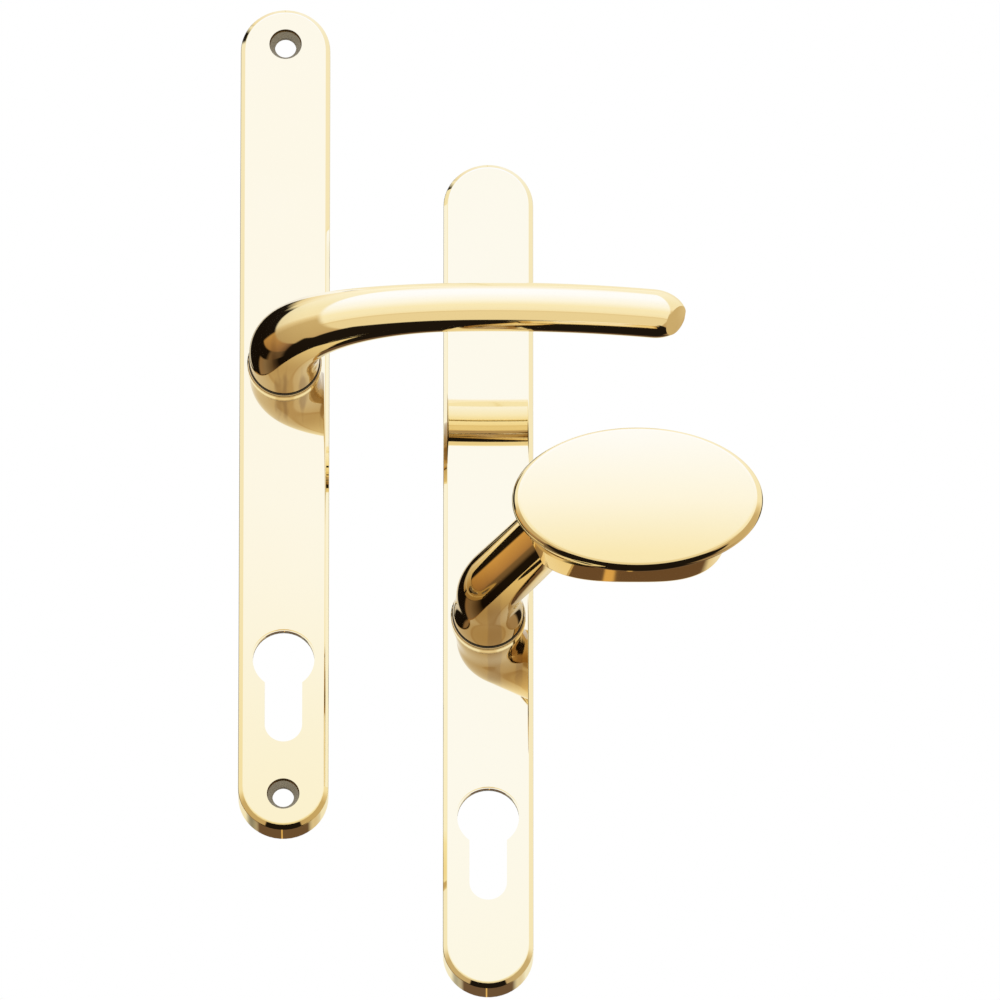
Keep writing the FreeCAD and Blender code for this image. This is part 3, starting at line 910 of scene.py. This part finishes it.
@dataclass
class LeverHandle:
    """The lever: round neck, elbow and bowed grip with a slanted facet at its tip. Sizes in mm."""

    gold: NeckShadeGold = NeckShadeGold("lever_gold", foot=-0.08, head=0.02)
    neck_radius: float = 10.2
    neck_back: float = -11.15
    neck_straight: float = 4.8
    crown_along: float = 60.0
    crown_depth: float = 51.6
    tip_along: float = 116.1
    tip_return: float = 7.3
    elbow_power: float = 2.3
    grip_half_height: float = 7.25
    grip_half_thickness: float = 5.7
    taper_end: float = 0.45
    nose_length: float = 9.5
    facet_from_nose: float = 6.4
    facet_normal: Triple = (0.82, -0.35, -0.45)
    facet_round: float = 0.35
    foot_rows: Triple = (0.0, 1.6, 3.2)
    slope_step: float = 0.002
    nose_turns: range = range(0, 84, 6)
    rings: int = 150
    fine_steps: int = 2000
    sides: int = 96

    def centre(self, t: float) -> Vector:
        """A point of the centreline: the elbow up to t = 0.5, then the grip.

        Args:
            t: From 0 at the foot of the elbow to 1 at the tip.

        Returns:
            The point in mm.
        """
        foot = -self.neck_back + self.neck_straight
        if t < 0.5:
            a = math.pi * t
            power = 2.0 / self.elbow_power
            x = self.crown_along * (1.0 - math.cos(a) ** power)
            depth = foot + (self.crown_depth - foot) * math.sin(a) ** power
        else:
            share = 2.0 * t - 1.0
            x = self.crown_along + (self.tip_along - self.crown_along) * share
            depth = self.crown_depth - self.tip_return * share * share
        return Vector((x, -depth, 0.0))

    def _nose(self) -> float:
        """Where the nose starts on the centreline."""
        run = self.tip_along - self.crown_along
        return 0.5 + 0.5 * (run - self.nose_length) / run

    def _frame(self, t: float) -> Matrix:
        """The ring at a place of the centreline.

        Args:
            t: The place.

        Returns:
            The ring's matrix, in mm.
        """
        step = self.slope_step
        along = self.centre(min(t + step, 1.0)) - self.centre(max(t - step, 0.0))
        share = smooth(t / self.taper_end)
        side = self.neck_radius + (self.grip_half_thickness - self.neck_radius) * share
        up = self.neck_radius + (self.grip_half_height - self.neck_radius) * share
        nose = self._nose()
        if t > nose:
            shrink = math.sqrt(max(1.0 - ((t - nose) / (1.0 - nose)) ** 2, 0.0))
            side *= shrink
            up *= shrink
        return ring_frame(self.centre(t), along, side, up)

    def _places(self) -> list[float]:
        """Places of the rings, evenly spaced up to the nose and closer round it."""
        nose = self._nose()
        steps = self.fine_steps
        fine = [self.centre(nose * i / steps) for i in range(steps + 1)]
        run = [0.0]
        for before, after in zip(fine, fine[1:]):
            run.append(run[-1] + (after - before).length)
        places = []
        for i in range(1, self.rings):
            wanted = run[-1] * i / self.rings
            places.append(nose * next(k for k, r in enumerate(run) if r >= wanted) / steps)
        round_nose = [nose + (1.0 - nose) * math.sin(math.radians(a)) for a in self.nose_turns]
        return places + round_nose

    def arm(self) -> bpy.types.Object:
        """Builds the polished arm over the CAD arm.

        Returns:
            The piece.
        """
        bm = bmesh.new()
        radius = self.neck_radius
        root = [
            ring_frame(Vector((0.0, self.neck_back - row, 0.0)), OUTWARD, radius, radius)
            for row in self.foot_rows
        ]
        sweep(bm, root + [self._frame(t) for t in self._places()], self.sides)
        nose = self._frame(self._nose()).to_translation()
        normal = Vector(self.facet_normal).normalized()
        rim = cut_flat(bm, nose + normal * self.facet_from_nose, normal, bm.faces)
        bmesh.ops.bevel(
            bm, geom=rim, offset=self.facet_round, segments=3, profile=0.5, affect="EDGES",
            material=-1, clamp_overlap=True,
        )
        bmesh.ops.scale(bm, vec=(MM, MM, MM), verts=bm.verts)
        bm.from_mesh(copied_back("lever_arm", (self.neck_back - STUB_REACH) * MM))
        piece = to_object(bm, "lever_arm_polished")
        dress(piece, self.gold.material())
        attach(piece, Body.LEVER.value)
        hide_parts("lever_arm")
        return piece


@dataclass
class PadHandle:
    """The offset pad: bent round arm, inset rear body and crowned oval face. Sizes in mm."""

    arm_gold: NeckShadeGold = NeckShadeGold(
        "arm_gold",
        pale=(0.95, 0.80, 0.50),
        warm=(0.90, 0.70, 0.36),
        neck_painted_shade=(0.40, 0.255, 0.11),
        neck_front=-0.054,
        neck_foot=-0.032,
    )
    face_gold: PolishedGold = PolishedGold("pad_gold", foot=-0.16, head=-0.05)
    spindle: Triple = (59.0, 0.0, -79.0)
    neck_radius: float = 10.2
    neck_back: float = -11.15
    arm_straight: float = 13.3
    arm_bend_radius: float = 26.0
    arm_bend: float = 30.0
    arm_turn_up: float = 14.0
    arm_radius: float = 9.2
    arm_flat: float = 7.5
    arm_flat_turn: float = 70.0
    arm_bite: float = 6.0
    back_depth: float = 58.7
    body_depth: float = 12.8
    body_half: Pair = (26.0, 20.5)
    body_reach_left: float = 32.0
    body_power: float = 3.0
    body_edge: float = 3.0
    body_chamfer: float = 0.5
    pad_offset: Pair = (27.5, 6.0)
    face_half: Pair = (36.0, 22.1)
    face_thickness: float = 4.4
    face_crown: float = 2.2
    face_edge: float = 2.8
    neck_steps: int = 16
    bend_steps: int = 24
    run_steps: int = 20
    crown_steps: int = 24
    sides: int = 96

    def _turn(self) -> Matrix:
        """The arm's turn up about the spindle axis."""
        return Matrix.Rotation(math.radians(-self.arm_turn_up), 4, "Y")

    def _run(self, depth: float) -> float:
        """Length of the arm's straight run up to a depth in front of the door.

        Args:
            depth: Millimetres in front of the door.

        Returns:
            The run's length in mm.
        """
        bend = math.radians(self.arm_bend)
        risen = self.arm_straight + self.arm_bend_radius * math.sin(bend)
        return (depth + self.neck_back - risen) / math.cos(bend)

    def pad_centre(self) -> Vector:
        """The pad's centre beside the spindle, at y = 0, in mm."""
        bend = math.radians(self.arm_bend)
        side = self.arm_bend_radius * (1.0 - math.cos(bend))
        side += self._run(self.back_depth) * math.sin(bend)
        reach = self._turn() @ Vector((side, 0.0, 0.0))
        offset = Vector((self.pad_offset[0], 0.0, self.pad_offset[1]))
        return Vector(self.spindle) + reach + offset

    def _bend_point(self, turn: float) -> tuple[Vector, Vector]:
        """A point of the arm's bend, before the arm is turned up.

        Args:
            turn: How far the arm has bent there, in radians.

        Returns:
            The point in mm from the spindle, and the way that the arm runs.
        """
        top = self.neck_back - self.arm_straight
        radius = self.arm_bend_radius
        point = Vector((radius * (1 - math.cos(turn)), top - radius * math.sin(turn), 0))
        return point, Vector((math.sin(turn), -math.cos(turn), 0.0))

    def _arm_frames(self) -> list[Matrix]:
        """The rings of the neck, the bend and the straight run, before the arm is turned up."""
        frames = []
        for i in range(self.neck_steps + 1):
            share = i / self.neck_steps
            y = self.neck_back - self.arm_straight * share
            radius = self.neck_radius + (self.arm_radius - self.neck_radius) * smooth(share)
            frames.append(ring_frame(Vector((0.0, y, 0.0)), OUTWARD, radius, radius))
        radius = self.arm_radius
        for i in range(1, self.bend_steps + 1):
            foot, way = self._bend_point(math.radians(self.arm_bend) * i / self.bend_steps)
            frames.append(ring_frame(foot, way, radius, radius))
        run = self._run(self.back_depth + self.arm_bite)
        for i in range(1, self.run_steps + 1):
            frames.append(ring_frame(foot + way * run * i / self.run_steps, way, radius, radius))
        return frames

    def arm(self) -> bpy.types.Object:
        """Builds the polished arm over the CAD arm.

        Returns:
            The piece.
        """
        bm = bmesh.new()
        sweep(bm, self._arm_frames(), self.sides)
        bend = math.radians(self.arm_bend)
        foot, along = self._bend_point(bend)
        turn = math.radians(self.arm_flat_turn)
        across = Vector((math.cos(bend), math.sin(bend), 0.0))
        normal = across * math.cos(turn) + Vector((0.0, 0.0, -math.sin(turn)))
        deepens = self.arm_radius - self.arm_flat
        slope = (normal * self._run(self.back_depth) + along * deepens).normalized()
        beyond = [f for f in bm.faces if (f.calc_center_median() - foot).dot(along) > 0.0]
        cut_flat(bm, foot + normal * self.arm_radius, slope, beyond)
        place = Matrix.Translation(Vector(self.spindle)) @ self._turn()
        bmesh.ops.transform(bm, matrix=place, verts=bm.verts)
        bmesh.ops.scale(bm, vec=(MM, MM, MM), verts=bm.verts)
        bm.from_mesh(copied_back("pad_arm", (self.neck_back - STUB_REACH) * MM))
        piece = to_object(bm, "pad_arm_polished")
        dress(piece, self.arm_gold.material())
        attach(piece, Body.PAD.value)
        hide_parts("pad_arm")
        return piece

    def body(self) -> bpy.types.Object:
        """Builds the inset body behind the face.

        Returns:
            The piece.
        """
        bm = bmesh.new()
        centre = self.pad_centre()
        back = -self.back_depth
        front = back - self.body_depth
        half = Vector(self.body_half)
        levels = []
        for turn in map(math.radians, ROUNDING):
            drop = self.body_edge * (1 - math.cos(turn))
            levels.append((self.body_edge * (1 - math.sin(turn)), back - drop))
        levels += [(0.0, front + self.body_chamfer), (self.body_chamfer, front)]
        frames = []
        for inset, y in levels:
            place = Vector((centre.x, y, centre.z))
            frames.append(ring_frame(place, OUTWARD, half.x - inset, half.y - inset))
        sweep(bm, frames, 2 * self.sides)
        for vertex in bm.verts:
            self._square_up(vertex, centre)
        bmesh.ops.scale(bm, vec=(MM, MM, MM), verts=bm.verts)
        piece = to_object(bm, "pad_body_polished")
        dress(piece, self.arm_gold.material())
        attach(piece, Body.PAD.value)
        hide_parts("pad_arm")
        return piece

    def _square_up(self, vertex: bmesh.types.BMVert, centre: Vector) -> None:
        """Moves a point of an ellipse out to the squarer oval of the body.

        Args:
            vertex: The point to move.
            centre: The oval's centre.
        """
        u = (vertex.co.x - centre.x) / self.body_half[0]
        v = (vertex.co.z - centre.z) / self.body_half[1]
        size = math.hypot(u, v)
        if size > TINY:
            power = self.body_power
            c, s = abs(u / size), abs(v / size)
            grow = 1.0 / (c**power + s**power) ** (1.0 / power)
            reach = self.body_half[0] if u > 0.0 else self.body_reach_left
            vertex.co.x = centre.x + u * grow * reach
            vertex.co.z = centre.z + v * grow * self.body_half[1]

    def face(self) -> bpy.types.Object:
        """Builds the crowned oval face.

        Returns:
            The piece.
        """
        bm = bmesh.new()
        centre = self.pad_centre()
        back = -self.back_depth - self.body_depth
        front = back - self.face_thickness
        r, e = self.face_half[0], self.face_edge
        crown = (r * r + self.face_crown**2) / (2 * self.face_crown)

        def bulge(x: float) -> float:
            """Height of the crown at a distance from the middle."""
            return math.sqrt(crown * crown - x * x) - (crown - self.face_crown)

        steps = self.crown_steps
        inner = [(x, front - bulge(x)) for x in (r * i / steps for i in range(steps)) if x < r - e]
        rim = []
        for turn in map(math.radians, ROUNDING):
            y = front + e - (e + bulge(r - e)) * math.cos(turn)
            rim.append((r - e + e * math.sin(turn), y))
        profile = inner + rim + [(r, back - e / 2), (r - e, back), (0.0, back)]
        points = [bm.verts.new((x, y, 0.0)) for x, y in profile]
        edges = [bm.edges.new(pair) for pair in zip(points, points[1:])]
        bmesh.ops.spin(
            bm, geom=points + edges, cent=(0, 0, 0), axis=(0, 1, 0), angle=2 * math.pi,
            steps=2 * self.sides, use_merge=True,
        )
        bmesh.ops.remove_doubles(bm, verts=bm.verts, dist=POLE_MERGE)
        bmesh.ops.scale(bm, vec=(1.0, 1.0, self.face_half[1] / r), verts=bm.verts)
        bmesh.ops.translate(bm, vec=(centre.x, 0.0, centre.z), verts=bm.verts)
        bmesh.ops.scale(bm, vec=(MM, MM, MM), verts=bm.verts)
        bmesh.ops.recalc_face_normals(bm, faces=bm.faces)
        piece = to_object(bm, "pad_face_polished", 50.0)
        dress(piece, self.face_gold.material())
        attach(piece, Body.PAD.value)
        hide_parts("pad_face")
        return piece


@dataclass
class KeptParts:
    """The CAD pieces that keep their shape and get their finish."""

    lever_plate_gold: PlateGold = PlateGold(
        "lever_plate_gold",
        pale=(0.99, 0.945, 0.82),
        warm=(0.965, 0.87, 0.59),
        foot=-0.17,
        head=-0.01,
        node="lever_backplate",
        recesses=((0.0, -133.8), (0.0, 101.2)),
    )
    pad_plate_gold: PlateGold = PlateGold(
        "pad_plate_gold",
        pale=(0.985, 0.95, 0.84),
        warm=(0.975, 0.92, 0.72),
        foot=-0.26,
        head=-0.10,
        node="pad_backplate",
    )
    nylon: MouldedNylon = MouldedNylon("bush_nylon")
    zinc: PlatedSteel = PlatedSteel("zinc_plate", (0.72, 0.73, 0.74), (0.42, 0.43, 0.45), 0.28)
    spring: PlatedSteel = PlatedSteel("spring_wire", (0.30, 0.30, 0.32), (0.12, 0.12, 0.13), 0.35)

    def build(self) -> None:
        """Dresses every CAD node that stays in view."""
        finishes = {
            Slot.GOLD.value: self.pad_plate_gold.material(),
            Slot.NYLON.value: self.nylon.material(),
            Slot.ZINC.value: self.zinc.material(),
            Slot.SPRING.value: self.spring.material(),
        }
        plate = self.lever_plate_gold.material()
        for entry in frame["record"]["subparts"]:
            node = entry["node"]
            on_plate = node == self.lever_plate_gold.node
            dress(frame["nodes"][node], plate if on_plate else finishes[entry["material_slot"]])
            LOG.info("dressed %s", node)


@dataclass
class ReturnSpring:
    """A return spring, held by the plate in front and wound by the drive plate behind."""

    side: str
    handle: Body
    wire: PlatedSteel = KeptParts.spring

    def build(self) -> bpy.types.Object:
        """Builds the spring on its CAD shape.

        Returns:
            The piece.
        """
        node = self.side + "_return_spring"
        bm = bmesh.new()
        bm.from_mesh(frame["nodes"][node].data)
        bmesh.ops.remove_doubles(bm, verts=bm.verts, dist=MERGE)
        piece = to_object(bm, node + "_wound")
        dress(piece, self.wire.material())
        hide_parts(node)
        disc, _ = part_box(self.side + "_drive_plate")
        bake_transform(piece)
        return piece


def main() -> None:
    """Builds the studio, the camera and every piece."""
    logging.basicConfig(level=logging.INFO, format="%(message)s")
    Studio().build()
    PhotoCamera().build()
    KeptParts().build()
    lever = LeverHandle()
    LOG.info("made %s", lever.arm().name)
    pad = PadHandle()
    springs = ReturnSpring("lever", Body.LEVER), ReturnSpring("pad", Body.PAD)
    for piece in (pad.arm(), pad.body(), pad.face(), *(spring.build() for spring in springs)):
        LOG.info("made %s", piece.name)


if __name__ == "__main__":
    main()
